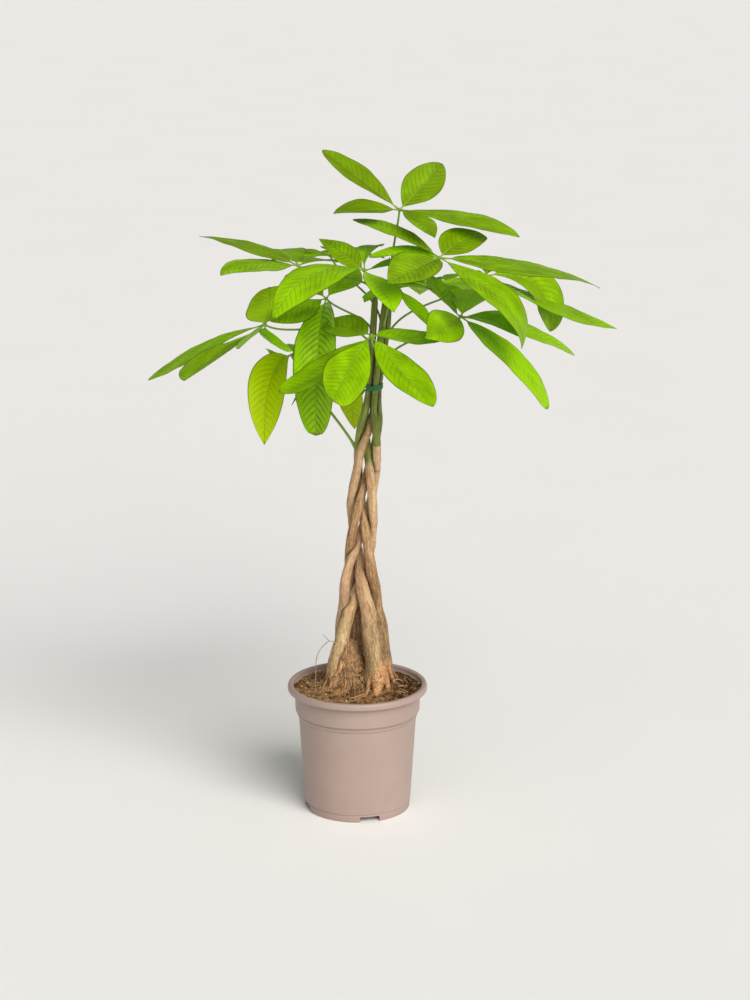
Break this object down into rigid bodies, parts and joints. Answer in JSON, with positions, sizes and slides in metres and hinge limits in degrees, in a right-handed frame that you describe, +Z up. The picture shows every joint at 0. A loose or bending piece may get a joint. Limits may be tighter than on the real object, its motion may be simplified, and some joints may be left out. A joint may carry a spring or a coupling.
{
  "type": "potted money tree",
  "caption": "Braided-trunk indoor tree with long-stalked palmate leaves, standing in a round tapered plastic nursery pot of soil",
  "frame": {"origin": "bottom centre of the whole plant's bounding box, on the plane the pot stands on; the pot's axis is 34 mm to -X and 16 mm to -Y of it", "axes": "+Z up along the trunks; -Y is the side facing the viewer, +X to the viewer's right"},
  "size_m": [0.5617, 0.4896, 0.8037],
  "materials": {
    "pot_plastic": "satin",
    "soil": "matte",
    "tie": "satin",
    "bark": "matte",
    "leaf": "satin"
  },
  "bodies": {
    "root": {"pot": "pot_plastic", "soil": "soil", "tie": "tie", "trunk_1": "bark", "trunk_2": "bark", "trunk_3": "bark", "trunk_4": "bark", "trunk_5": "bark", "leaf_01": "leaf", "leaf_02": "leaf", "leaf_03": "leaf", "leaf_04": "leaf", "leaf_05": "leaf", "leaf_06": "leaf", "leaf_07": "leaf", "leaf_08": "leaf", "leaf_09": "leaf", "leaf_10": "leaf", "leaf_11": "leaf", "leaf_12": "leaf", "leaf_13": "leaf", "leaf_14": "leaf"}
  },
  "joints": []
}
